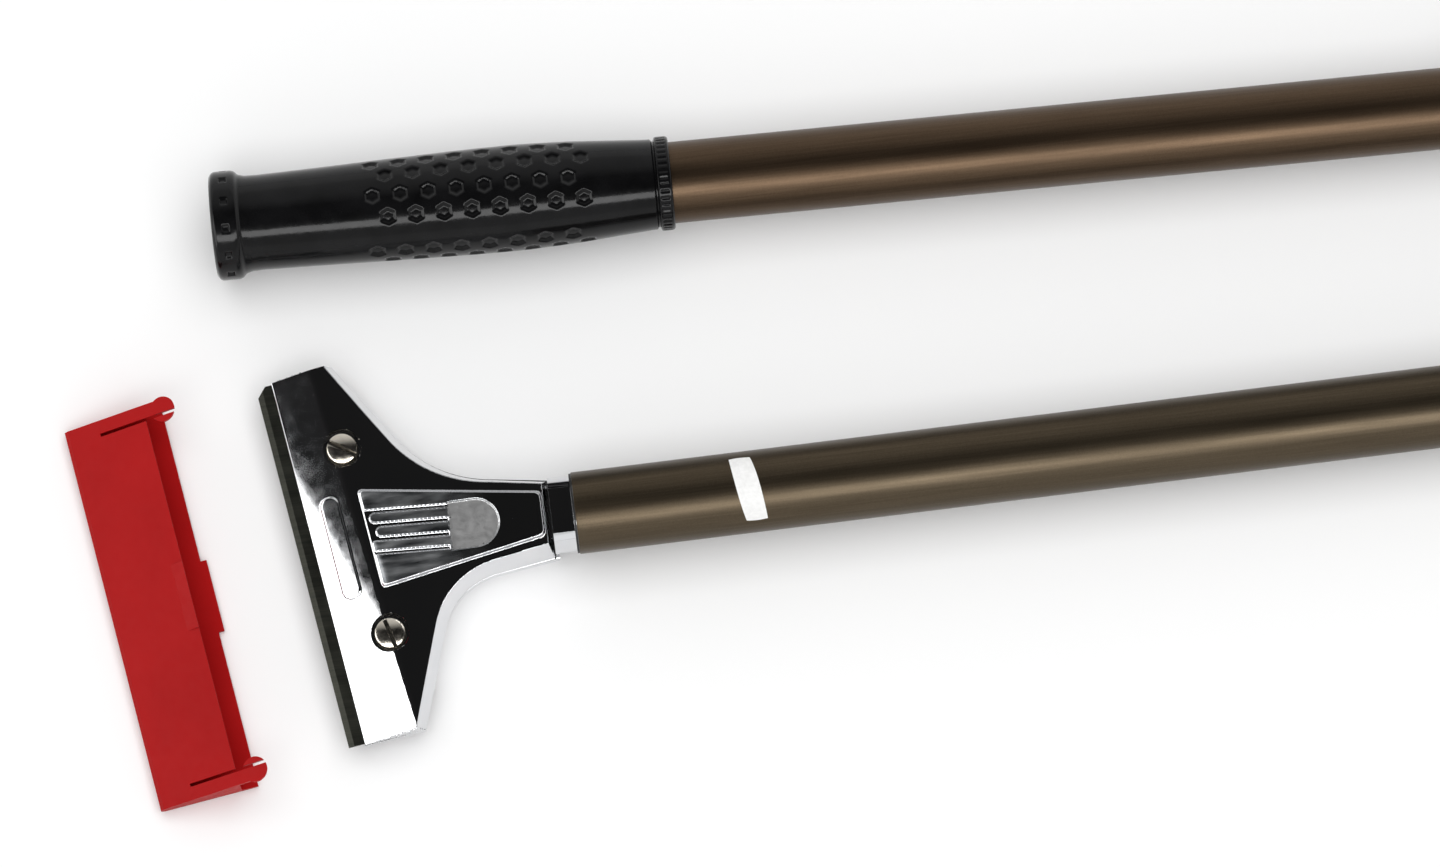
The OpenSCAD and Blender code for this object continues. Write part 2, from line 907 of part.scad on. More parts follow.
module joining_sleeve() {
  band_r = flange_d / 2;
  start = grip_end_x - sleeve_len;
  color(colours[3])
    difference() {
      union() {
        on_grip_section()
          turned([
            [start, sleeve_bore], [start, band_r - 1], [start + 1, band_r],
            [start + sleeve_band, band_r], [start + sleeve_band + 1.2, sleeve_mid_d / 2],
            [grip_end_x - sleeve_band - 1.2, sleeve_mid_d / 2],
            [grip_end_x - sleeve_band, band_r], [grip_end_x - 1, band_r],
            [grip_end_x, band_r - 1], [grip_end_x, sleeve_bore]
          ]);
        for (share = [0.25, 0.75])
          on_sleeve(share)
            translate([0, 0, sleeve_bore + 1.5])
              cylinder(h = sleeve_mid_d / 2 + boss_h - sleeve_bore - 1.5, d = boss_d);
      }
      for (share = [0.25, 0.75])
        on_sleeve(share)
          cylinder(h = tube_d, d = thumb_d + 2 * thread_gap);
    }
}

module thumb_screw(share) {
  top = sleeve_mid_d / 2 + boss_h + 0.6;
  color(colours[0])
    on_sleeve(share) {
      translate([0, 0, tube_r + thumb_tip_gap])
        cylinder(h = top - tube_r - thumb_tip_gap + eps, d = thumb_d);
      translate([0, 0, top])
        difference() {
          cylinder(h = thumb_head_h, d = thumb_head_d);
          for (i = [0 : knurl_count - 1])
            rotate([0, 0, i * 360 / knurl_count])
              translate([thumb_head_d / 2 + 0.15, 0, 0.8])
                cylinder(h = thumb_head_h - 1.6, d = 0.8, $fn = 16);
        }
    }
}

module front_thumb_screw() {
  thumb_screw(0.25);
}

module rear_thumb_screw() {
  thumb_screw(0.75);
}

head_body();
front_jaw();
upper_screw();
lower_screw();
upper_washer();
lower_washer();
scraper_blade();
blade_guard();
head_tube();
tang_pin();
neck_seal();
origin_label();
grip_tube();
hand_grip();
grip_end_plug();
joining_sleeve();
front_thumb_screw();
rear_thumb_screw();
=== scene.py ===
import math

import bmesh
import bpy
import numpy as np
from mathutils import Matrix, Vector


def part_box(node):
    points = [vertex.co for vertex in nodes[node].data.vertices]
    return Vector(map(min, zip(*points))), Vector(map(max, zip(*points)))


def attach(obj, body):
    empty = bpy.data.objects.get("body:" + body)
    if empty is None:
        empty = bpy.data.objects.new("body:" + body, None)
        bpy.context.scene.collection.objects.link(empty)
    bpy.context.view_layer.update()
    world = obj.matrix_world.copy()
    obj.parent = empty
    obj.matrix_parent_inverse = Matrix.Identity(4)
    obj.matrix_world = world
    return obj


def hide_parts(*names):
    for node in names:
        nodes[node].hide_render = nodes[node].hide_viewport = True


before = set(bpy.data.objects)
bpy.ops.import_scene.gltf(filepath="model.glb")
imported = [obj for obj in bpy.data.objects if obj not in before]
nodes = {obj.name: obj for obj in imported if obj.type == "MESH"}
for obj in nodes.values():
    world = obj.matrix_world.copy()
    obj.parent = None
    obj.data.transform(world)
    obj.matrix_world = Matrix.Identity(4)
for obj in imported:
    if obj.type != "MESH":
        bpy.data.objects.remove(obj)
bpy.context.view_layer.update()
mm = 0.001

# places that every piece shares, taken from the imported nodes
handle = {
    "mouth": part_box("head_tube")[0].x,                      # tube mouth, on the handle's line
    "axisHeight": (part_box("head_tube")[0].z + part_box("head_tube")[1].z) / 2,
    "layAngle": -1.5,                                       # grip section against the head section, degrees
    "layPoint": (-0.046, 0.0905),                           # middle of the grip's end
}
head = {
    "reach": 70.7, "shift": 4.1, "skew": 7.8,               # lip against the tube mouth, mm and degrees
    "lipHalf": 51.3, "wingDepth": 17.0,
    "waistHalf": 10.7, "neckStep": 6.8,
    "leftKnee": (37.5, 15.4, 34.0), "rightKnee": (34.8, 14.7, 19.5),   # place, half width, bend radius
    "midShift": 1.8, "screwDepth": 14.15, "screwSpan": 52.1,
}


def unitVector(v):
    return v / np.linalg.norm(v)


def smoothStep(edge0, edge1, x):
    t = np.clip((x - edge0) / (edge1 - edge0), 0, 1)
    return t * t * (3 - 2 * t)


def softMin(a, b, reach):
    h = np.clip(0.5 + 0.5 * (b - a) / reach, 0, 1)
    return b * (1 - h) + a * h - reach * h * (1 - h)


def lipToWorld(depth, along):
    # a place in plan in mm: depth behind the lip, and along it to the left
    c, s = math.cos(math.radians(head["skew"])), math.sin(math.radians(head["skew"]))
    x = handle["mouth"] / mm - head["reach"] + depth * c - along * s
    y = depth * s + along * c - head["shift"]
    return x, y


def newPiece(name, verts, faces, body, material):
    mesh = bpy.data.meshes.new(name)
    mesh.from_pydata([tuple(v) for v in verts], [], [tuple(f) for f in faces])
    mesh.validate()
    piece = bpy.data.objects.new(name, mesh)
    bpy.context.scene.collection.objects.link(piece)
    mesh.materials.append(material)
    mesh.shade_smooth()
    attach(piece, body)
    return piece


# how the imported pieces' edges are rounded
edgeWork = {"weldWithin": 0.000002, "segments": 3, "sharperThan": 32}


def softenEdges(piece, width):
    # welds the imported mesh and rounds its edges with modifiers, so the mesh itself stays as packed
    weld = piece.modifiers.new("weld", "WELD")
    weld.merge_threshold = edgeWork["weldWithin"]
    bevel = piece.modifiers.new("edges", "BEVEL")
    bevel.width = width * mm
    bevel.segments = edgeWork["segments"]
    bevel.limit_method = "ANGLE"
    bevel.angle_limit = math.radians(edgeWork["sharperThan"])
    bevel.use_clamp_overlap = True
    bevel.miter_outer = "MITER_ARC"
    bevel.harden_normals = False
    smooth = piece.modifiers.new("normals", "WEIGHTED_NORMAL")
    smooth.keep_sharp = True


def dress(nodeName, material, width=0):
    piece = nodes[nodeName]
    piece.data.materials.clear()
    piece.data.materials.append(material)
    if width:
        softenEdges(piece, width)


def turnedPiece(name, profile, sides, body, material, angle=0, base=(0, 0)):
    # profile is a closed loop of (along, radius) in mm, turned about a line at the handle's height
    c, s = math.cos(math.radians(angle)), math.sin(math.radians(angle))
    verts, faces = [], []
    n = len(profile)
    for i in range(sides):
        turn = 2 * math.pi * i / sides
        for a, r in profile:
            lx, ly, lz = a, r * math.cos(turn), r * math.sin(turn)
            verts.append(((lx * c - ly * s) * mm + base[0], (lx * s + ly * c) * mm + base[1],
                          lz * mm + handle["axisHeight"]))
    for i in range(sides):
        j = (i + 1) % sides
        for k in range(n):
            m = (k + 1) % n
            faces.append((i * n + k, i * n + m, j * n + m, j * n + k))
    piece = newPiece(name, verts, faces, body, material)
    piece.data.set_sharp_from_angle(angle=math.radians(tubes["sharperThan"]))
    return piece


class Finish:
    # one procedural material, built node by node
    def __init__(self, name, **socketValues):
        self.material = bpy.data.materials.new(name)
        self.material.use_nodes = True
        self.tree = self.material.node_tree
        self.shader = self.tree.nodes["Principled BSDF"]
        for socketName, value in socketValues.items():
            self.shader.inputs[socketName.replace("_", " ")].default_value = value
        self.place = self.add("ShaderNodeTexCoord").outputs["Object"]

    def add(self, kind, **values):
        node = self.tree.nodes.new(kind)
        for key, value in values.items():
            setattr(node, key, value)
        return node

    def link(self, a, b):
        self.tree.links.new(a, b)

    def stretched(self, scale, turn=0):
        mapping = self.add("ShaderNodeMapping")
        mapping.inputs["Scale"].default_value = scale
        mapping.inputs["Rotation"].default_value = (0, 0, math.radians(turn))
        self.link(self.place, mapping.inputs["Vector"])
        return mapping.outputs["Vector"]

    def noise(self, scale, detail=3.0, vector=None):
        node = self.add("ShaderNodeTexNoise")
        node.inputs["Scale"].default_value = scale
        node.inputs["Detail"].default_value = detail
        node.inputs["Roughness"].default_value = 0.5
        self.link(vector or self.place, node.inputs["Vector"])
        return node.outputs["Fac"]

    def ramp(self, source, stops):
        node = self.add("ShaderNodeValToRGB")
        elements = node.color_ramp.elements
        while len(elements) < len(stops):
            elements.new(0.5)
        for element, (position, colour) in zip(elements, stops):
            element.position = position
            element.color = (*colour, 1)
        self.link(source, node.inputs["Fac"])
        return node.outputs["Color"]

    def spread(self, source, low, high):
        # turns the middle of a noise's range into low to high
        node = self.add("ShaderNodeMapRange")
        node.inputs["To Min"].default_value = low
        node.inputs["To Max"].default_value = high
        node.inputs["From Min"].default_value = 0.3
        node.inputs["From Max"].default_value = 0.7
        self.link(source, node.inputs["Value"])
        return node.outputs["Result"]

    def colour(self, source, stops):
        self.link(self.ramp(source, stops), self.shader.inputs["Base Color"])

    def rough(self, source, low, high):
        self.link(self.spread(source, low, high), self.shader.inputs["Roughness"])

    def bump(self, layers):
        # layers is a list of (height source, distance in mm)
        normal = None
        for source, distance in layers:
            node = self.add("ShaderNodeBump")
            node.inputs["Distance"].default_value = distance * mm
            node.inputs["Strength"].default_value = 1.0
            self.link(source, node.inputs["Height"])
            if normal:
                self.link(normal, node.inputs["Normal"])
            normal = node.outputs["Normal"]
        self.link(normal, self.shader.inputs["Normal"])


def grey(v):
    return (v, v, v)


def makeChrome():
    f = Finish("brightChrome", Metallic=1.0)
    f.colour(f.noise(60, 4), [(0.3, (0.62, 0.63, 0.65)), (0.7, (0.69, 0.69, 0.70))])
    f.rough(f.noise(260, 5), 0.025, 0.06)
    f.bump([(f.noise(45, 4), 0.012), (f.noise(420, 2), 0.0006)])
    return f.material


def makeSatinChromePaintedShade():
    f = Finish("satinChromePaintedShade", Metallic=1.0)
    # satin roughness on the thumb hollow; the base colour, darker than the bright chrome's, is painted shade
    # standing in for the hollow's dimmer reflection
    f.colour(f.noise(300, 4), [(0.3, grey(0.42)), (0.7, grey(0.50))])
    f.rough(f.noise(700, 3), 0.42, 0.5)
    f.bump([(f.noise(2600, 3), 0.012)])
    return f.material


# where the pad turns from cast skin, whose darker colour is partly painted shade, to polish, in metres along
# the handle
polishFrom, polishTo = 0.004, 0.024


def makeRibChromePaintedShade():
    # plated over the casting's own skin: streaky and soft on the ribs, polished towards the neck; the skin's
    # dark base colour is partly painted shade, standing in for the dim reflections on the ribs
    f = Finish("ribChromePaintedShade", Metallic=1.0)
    streaks = f.noise(1.0, 4, f.stretched((80, 380, 380), head["skew"]))
    split = f.add("ShaderNodeSeparateXYZ")
    f.link(f.place, split.inputs[0])
    polish = f.add("ShaderNodeMapRange", interpolation_type="SMOOTHSTEP")
    for socketName, value in (("From Min", polishFrom), ("From Max", polishTo),
                              ("To Min", 0.0), ("To Max", 1.0)):
        polish.inputs[socketName].default_value = value
    f.link(split.outputs["X"], polish.inputs["Value"])
    # painted shade: the skin's base colour is set far darker than the bright chrome's
    skinAndPaintedShade = f.ramp(streaks, [(0.34, (0.15, 0.16, 0.17)), (0.68, (0.40, 0.41, 0.42))])
    mix = f.add("ShaderNodeMix", data_type="RGBA")
    f.link(polish.outputs["Result"], mix.inputs[0])
    f.link(skinAndPaintedShade, mix.inputs[6])
    mix.inputs[7].default_value = (0.55, 0.56, 0.57, 1)
    f.link(mix.outputs[2], f.shader.inputs["Base Color"])
    rough = f.add("ShaderNodeMix")
    f.link(polish.outputs["Result"], rough.inputs[0])
    f.link(f.spread(streaks, 0.24, 0.42), rough.inputs[2])
    rough.inputs[3].default_value = 0.07
    f.link(rough.outputs[0], f.shader.inputs["Roughness"])
    f.bump([(streaks, 0.012), (f.noise(1200, 3), 0.002)])
    return f.material


def makeNickel(name, tint, roughLow, roughHigh, knurl=False):
    f = Finish(name, Metallic=1.0)
    f.colour(f.noise(240, 4), [(0.3, tuple(0.88 * c for c in tint)), (0.7, tint)])
    f.rough(f.noise(900, 4), roughLow, roughHigh)
    f.bump([(f.noise(1500, 3), 0.004), (f.noise(200, 2), 0.01 if knurl else 0.006)])
    return f.material


def makeAnodised(name, dark, light, turn=0):
    # drawn tube: fine grain lengthwise over a soft satin, with faint draw lines
    f = Finish(name, Metallic=1.0)
    lines = f.stretched((30, 1800, 1800), turn)
    grain = f.noise(1.0, 3, lines)
    fine = f.noise(3200, 3)
    mix = f.add("ShaderNodeMath", operation="ADD")
    half = f.add("ShaderNodeMath", operation="MULTIPLY")
    half.inputs[1].default_value = 0.5
    f.link(grain, mix.inputs[0])
    f.link(fine, mix.inputs[1])
    f.link(mix.outputs[0], half.inputs[0])
    f.colour(half.outputs[0], [(0.32, dark), (0.68, light)])
    f.rough(f.noise(90, 3, f.stretched((0.25, 1, 1), turn)), 0.36, 0.43)
    f.bump([(fine, 0.008), (grain, 0.004)])
    return f.material


def makeVinyl():
    f = Finish("blackVinyl", Specular_IOR_Level=0.15, Coat_Weight=0.04, Coat_Roughness=0.05)
    f.colour(f.noise(120, 4), [(0.3, (0.0028, 0.0028, 0.003)), (0.7, (0.006, 0.006, 0.0065))])
    f.rough(f.noise(420, 4), 0.10, 0.18)
    f.bump([(f.noise(160, 4), 0.05), (f.noise(900, 3), 0.008)])
    return f.material


def makeGuardPlastic():
    f = Finish("redPlastic", Specular_IOR_Level=0.07, Subsurface_Weight=0.08,
               Subsurface_Radius=(0.6, 0.12, 0.08), Subsurface_Scale=0.002)
    f.colour(f.noise(45, 4), [(0.3, (0.34, 0.0035, 0.0040)), (0.7, (0.39, 0.0050, 0.0055))])
    f.rough(f.noise(500, 4), 0.4, 0.55)
    f.bump([(f.noise(1400, 3), 0.010), (f.noise(70, 3), 0.03)])
    return f.material


def makeBladeSteel():
    # blued spring steel with fine grinding lines square to the edge
    f = Finish("bluedSteel", Metallic=0.9)
    lines = f.stretched((60, 2200, 60), -head["skew"])
    grain = f.noise(1.0, 3, lines)
    f.colour(grain, [(0.3, (0.030, 0.031, 0.026)), (0.7, (0.045, 0.045, 0.036))])
    f.rough(f.noise(150, 4), 0.3, 0.46)
    f.bump([(grain, 0.004)])
    return f.material


def makeLabelPaper():
    f = Finish("whiteLabel", Specular_IOR_Level=0.35)
    f.colour(f.noise(900, 5), [(0.3, (0.80, 0.80, 0.79)), (0.7, (0.90, 0.90, 0.89))])
    f.rough(f.noise(700, 3), 0.45, 0.6)
    f.bump([(f.noise(2500, 4), 0.008)])
    return f.material


def makeSleeveBlack():
    f = Finish("blackAnodised", Metallic=0.85)
    f.colour(f.noise(1800, 4), [(0.3, grey(0.018)), (0.7, grey(0.03))])
    f.rough(f.noise(300, 3), 0.3, 0.4)
    f.bump([(f.noise(2600, 3), 0.006)])
    return f.material


def makeSeal():
    f = Finish("blackSeal", Specular_IOR_Level=0.4)
    f.colour(f.noise(600, 4), [(0.3, grey(0.006)), (0.7, grey(0.014))])
    f.rough(f.noise(600, 3), 0.5, 0.7)
    f.bump([(f.noise(1500, 3), 0.01)])
    return f.material


print("finishes")
chrome = makeChrome()
satinChromePaintedShade = makeSatinChromePaintedShade()
ribChromePaintedShade = makeRibChromePaintedShade()
nickel = makeNickel("warmNickel", (0.74, 0.69, 0.60), 0.12, 0.22)
knurledNickel = makeNickel("knurledNickel", (0.62, 0.60, 0.56), 0.2, 0.3, True)
lowerBronze = makeAnodised("bronzeAnodised", (0.060, 0.046, 0.030), (0.094, 0.073, 0.049))
upperBronze = makeAnodised("bronzeAnodisedWarm", (0.064, 0.042, 0.026), (0.098, 0.066, 0.042), 1.5)
vinyl = makeVinyl()
redPlastic = makeGuardPlastic()
bluedSteel = makeBladeSteel()
labelPaper = makeLabelPaper()
sleeveBlack = makeSleeveBlack()
sealRubber = makeSeal()


# the front jaw, a casting with a bevel, a raised pad with ribs and a thumb hollow; mm
jaw = {
    "bottom": 8.925, "lipHeight": 9.725, "bevelSlope": 0.445,
    "rearHeight": 21.25, "rearSlope": 0.11, "wingDraft": 0.30, "neckDraft": 0.21, "backLean": 0.104,
    "draftBlend": (-15, 25),                                # along the handle, from wing draft to neck draft
    "edgeRound": 0.55, "creaseRound": 0.25, "padCornerRound": 1.6,
    "padRaise": 1.2, "padBack": 8.6, "padBackHalf": 6.0, "padFront": 15.4, "padFrontHalf": 13.8,
    "ribWidth": 3.0, "ribPitch": 3.85, "ribTurn": 3.5, "grooveBack": 34.0, "grooveDepth": 0.8,
    "ribReach": 21.6, "middleShort": 1.6,
    "ribShoulder": 0.86,                                    # height of a rib's sides against its middle
    "fieldMargin": 0.42,                                    # groove beyond the outer ribs
    "hollowHalf": 6.5, "hollowApex": 20.6, "hollowDepth": 0.78,
    "ovalLength": 29.0, "ovalWidth": 5.4, "ovalPlace": 7.0, "ovalRaise": 0.45,
    "boreRadius": 5.1, "boreFloor": 11.5, "boreEdge": (-0.12, 0.13), "boreKeepOff": 0.5,
    # foot and rim of each raised or sunk outline, measured inwards from its line
    "padEdge": (-0.25, 0.5), "hollowEdge": (-0.3, 0.25), "grooveEdge": (-0.2, 0.25),
    "ribEdge": (-0.1, 0.42), "ovalEdge": (-0.05, 0.55),
    "skinAndShadeInside": 0.4, "skinAndShadeBelow": 0.6,                    # where the pad keeps its cast skin, whose darker colour is partly painted shade
    "rearFrom": 6.5, "depth": 67.01, "grid": 0.22, "normalStep": 0.03, "sharperThan": 50,
}


def bendPoints(a, b, c, radius, steps=24):
    u, v = unitVector(a - b), unitVector(c - b)
    half = math.acos(float(np.clip(u @ v, -1, 1))) / 2
    centre = b + unitVector(u + v) * radius / math.sin(half)
    p = b + u * radius / math.tan(half) - centre
    q = b + v * radius / math.tan(half) - centre
    start = math.atan2(p[1], p[0])
    sweep = (math.atan2(q[1], q[0]) - start + 3 * math.pi) % (2 * math.pi) - math.pi
    angles = [start + sweep * i / steps for i in range(steps + 1)]
    return [centre + radius * np.array((math.cos(angle), math.sin(angle))) for angle in angles]


def flankLine(side, knee):
    mouth = handle["mouth"] / mm
    neck = np.array((mouth - head["neckStep"], side * head["waistHalf"]))
    corner = np.array((mouth - knee[0], side * knee[1]))
    wing = np.array(lipToWorld(head["wingDepth"], side * head["lipHalf"]))
    return [neck] + bendPoints(neck, corner, wing, knee[2]) + [wing]


def lineDistance(x, y, line):
    best = np.full(x.shape, 1e9)
    for p, q in zip(line[:-1], line[1:]):
        d = q - p
        t = np.clip(((x - p[0]) * d[0] + (y - p[1]) * d[1]) / (d @ d), 0, 1)
        best = np.minimum(best, np.hypot(x - p[0] - t * d[0], y - p[1] - t * d[1]))
    return best


def insideLoop(x, y, loop):
    inside = np.zeros(x.shape, bool)
    for p, q in zip(loop, loop[1:] + loop[:1]):
        crosses = (p[1] > y) != (q[1] > y)
        at = p[0] + (y - p[1]) * (q[0] - p[0]) / (q[1] - p[1] if q[1] != p[1] else 1e-9)
        inside ^= crosses & (x < at)
    return inside


def convexDepth(x, y, loop, rounding):
    # how far inside a convex outline given clockwise or counter-clockwise
    depth = None
    area = sum(p[0] * q[1] - q[0] * p[1] for p, q in zip(loop, loop[1:] + loop[:1]))
    for p, q in zip(loop, loop[1:] + loop[:1]):
        d = unitVector(np.array(q) - np.array(p)) * (1 if area > 0 else -1)
        side = (y - p[1]) * d[0] - (x - p[0]) * d[1]
        depth = side if depth is None else softMin(depth, side, rounding)
    return depth


def snapToBores(depth, along):
    # moves grid points near each counterbore onto two clean circles, its foot and its rim
    for side in (-1, 1):
        cd, ct = head["screwDepth"], head["midShift"] + side * head["screwSpan"] / 2
        rd, rt = depth - cd, along - ct
        r = np.hypot(rd, rt) + 1e-9
        for offset in jaw["boreEdge"]:
            target = jaw["boreRadius"] + offset
            near = np.abs(r - target) < jaw["grid"] * 0.5
            depth = np.where(near, cd + rd / r * target, depth)
            along = np.where(near, ct + rt / r * target, along)
    return depth, along


def padField(x, y):
    # how far inside the raised pad a place is
    mouth = handle["mouth"] / mm
    back = [np.array((mouth - jaw["padBack"], side * jaw["padBackHalf"])) for side in (-1, 1)]
    front = [np.array(lipToWorld(jaw["padFront"], head["midShift"] + side * jaw["padFrontHalf"]))
             for side in (1, -1)]
    return convexDepth(x, y, back + front, jaw["padCornerRound"])


def hollowField(x, y):
    # thumb hollow: square at its front, round at its back
    mouth = handle["mouth"] / mm
    middle = mouth - jaw["hollowApex"] - jaw["hollowHalf"]
    return np.minimum(jaw["hollowHalf"] - np.hypot(np.maximum(x - middle, 0), y),
                      x - (mouth - jaw["grooveBack"]))


def ovalField(depth, along):
    half = jaw["ovalLength"] / 2 - jaw["ovalWidth"] / 2
    return jaw["ovalWidth"] / 2 - np.hypot(
        depth - jaw["ovalPlace"], np.maximum(np.abs(along - head["midShift"]) - half, 0))


def ribFrame(x, y):
    # distance forward from the back ends of the grooves, and across them
    turn = math.radians(-jaw["ribTurn"])
    gx = handle["mouth"] / mm - jaw["grooveBack"]
    return (-((x - gx) * math.cos(turn) + y * math.sin(turn)),
            -(x - gx) * math.sin(turn) + y * math.cos(turn))


def ribField(x, y):
    u, v = ribFrame(x, y)
    best = np.full(x.shape, -9.0)
    for i in (-1, 0, 1):
        end = jaw["ribReach"] - (jaw["middleShort"] if i == 0 else 0) - jaw["ribWidth"] / 2
        away = np.hypot(np.maximum(u - end, 0), v - i * jaw["ribPitch"])
        best = np.maximum(best, jaw["ribWidth"] / 2 - away)
    return best


def grooveField(x, y):
    u, v = ribFrame(x, y)
    return np.minimum(1.5 * jaw["ribPitch"] + jaw["fieldMargin"] - np.abs(v), u)


def plainHeights(depth, x):
    # heights of the bevel and of the rear face, before anything stands on them
    return (jaw["lipHeight"] + jaw["bevelSlope"] * depth,
            jaw["rearHeight"] + jaw["rearSlope"] * (x - (handle["mouth"] / mm - jaw["rearFrom"])))


def flankField(x, y):
    # distance inside the jaw's two flanks, below zero outside them
    left, right = flankLine(1, head["leftKnee"]), flankLine(-1, head["rightKnee"])
    lip = [np.array(lipToWorld(0, side * head["lipHalf"])) for side in (1, -1)]
    loop = left + lip + right[::-1]
    flank = np.minimum(lineDistance(x, y, left), lineDistance(x, y, right))
    return np.where(insideLoop(x, y, loop), flank, -flank)


def flankWall(x, y):
    # height of the sloping flank, which stands steeper towards the neck
    share = smoothStep(*jaw["draftBlend"], x)
    draft = jaw["wingDraft"] * (1 - share) + jaw["neckDraft"] * share
    return jaw["bottom"] + flankField(x, y) / draft


def wallField(depth, along):
    # above zero where the faces end and the sloping flank begins
    x, y = lipToWorld(depth, along)
    bevel, rear = plainHeights(depth, x)
    return flankWall(x, y) - np.minimum(bevel, rear)


def creaseField(depth, along):
    # zero where the bevel meets the rear face
    bevel, rear = plainHeights(depth, lipToWorld(depth, along)[0])
    return bevel - rear


def snapToLines(depth, along):
    # moves grid points onto the foot and the rim of each raised or sunk outline, so the outlines stay clean
    step = 0.01
    fields = ((wallField, (0.0,)), (creaseField, (0.0,)),
              (lambda d, t: padField(*lipToWorld(d, t)), jaw["padEdge"]),
              (lambda d, t: hollowField(*lipToWorld(d, t)), jaw["hollowEdge"]),
              (lambda d, t: grooveField(*lipToWorld(d, t)), jaw["grooveEdge"]),
              (lambda d, t: ribField(*lipToWorld(d, t)), jaw["ribEdge"]),
              (ovalField, jaw["ovalEdge"]))
    for field, targets in fields:
        for target in targets:
            value = field(depth, along)
            gd = (field(depth + step, along) - value) / step
            gt = (field(depth, along + step) - value) / step
            size = gd * gd + gt * gt + 1e-9
            near = np.abs(value - target) / np.sqrt(size) < jaw["grid"] * 0.5
            inner = near & (np.abs(along) < head["lipHalf"] - 0.01)
            depth = np.where(near, depth - (value - target) * gd / size, depth)
            along = np.where(inner, along - (value - target) * gt / size, along)
    return np.maximum(depth, 0), np.clip(along, -head["lipHalf"], head["lipHalf"])


def boreDistances(depth, along):
    return [np.hypot(depth - head["screwDepth"], along - head["midShift"] - side * head["screwSpan"] / 2)
            for side in (-1, 1)]


def jawHeights(depth, along, lowest=-1.0):
    # lowest is how far below the jaw's bottom the heights may go
    x, y = lipToWorld(depth, along)
    back = handle["mouth"] / mm - head["neckStep"] - x
    bevel, rear = plainHeights(depth, x)

    # pad with its ribs and its thumb hollow, laid on the rear face
    padInside = padField(x, y)
    pad = smoothStep(*jaw["padEdge"], padInside)
    across = ribFrame(x, y)[1] / jaw["ribPitch"]
    crown = np.cos(np.clip(across - np.round(across), -0.5, 0.5) * math.pi)
    ribs = smoothStep(*jaw["ribEdge"], ribField(x, y))
    field = smoothStep(*jaw["grooveEdge"], grooveField(x, y))
    groove = (field * (1 - ribs * (jaw["ribShoulder"] + (1 - jaw["ribShoulder"]) * crown))
              * smoothStep(0.0, jaw["padEdge"][1], padInside))
    hollowInside = hollowField(x, y)
    hollow = smoothStep(*jaw["hollowEdge"], hollowInside)
    sunk = np.maximum(groove * jaw["grooveDepth"], hollow * jaw["hollowDepth"])
    rear = rear + jaw["padRaise"] * pad - pad * sunk
    bevel = bevel + jaw["ovalRaise"] * smoothStep(*jaw["ovalEdge"], ovalField(depth, along))

    z = softMin(bevel, rear, jaw["creaseRound"])
    z = softMin(z, flankWall(x, y), jaw["edgeRound"])
    z = softMin(z, jaw["bottom"] + back / jaw["backLean"], jaw["edgeRound"])
    z = np.maximum(z, jaw["bottom"] + lowest)
    for r in boreDistances(depth, along):
        z = np.where(r < jaw["boreRadius"], jaw["boreFloor"], z)
    # the pad's top outside its grooves, which takes the darker skin colour that is partly painted shade
    skinAndPaintedShade = (padInside > jaw["skinAndShadeInside"]) & (groove < jaw["skinAndShadeBelow"])
    return z, x, y, hollowInside, skinAndPaintedShade


def jawNormals(depth, along):
    # exact surface directions, so that reflections stay clean on the small steps
    step = jaw["normalStep"]
    heights = [jawHeights(depth + a * step, along + b * step, -50.0)[0]
               for a, b in ((1, 0), (-1, 0), (0, 1), (0, -1))]
    byDepth, byAlong = (heights[0] - heights[1]) / (2 * step), (heights[2] - heights[3]) / (2 * step)
    origin = np.array(lipToWorld(0, 0))
    deep, wide = np.array(lipToWorld(1, 0)) - origin, np.array(lipToWorld(0, 1)) - origin
    normals = np.stack((-byDepth * deep[0] - byAlong * wide[0],
                        -byDepth * deep[1] - byAlong * wide[1], np.ones(depth.shape)), axis=-1)
    normals /= np.linalg.norm(normals, axis=-1, keepdims=True)
    # none at the counterbores' sharp rims, which keep the mesh's own
    for r in boreDistances(depth, along):
        normals[np.abs(r - jaw["boreRadius"]) < jaw["boreKeepOff"]] = 0
    return normals


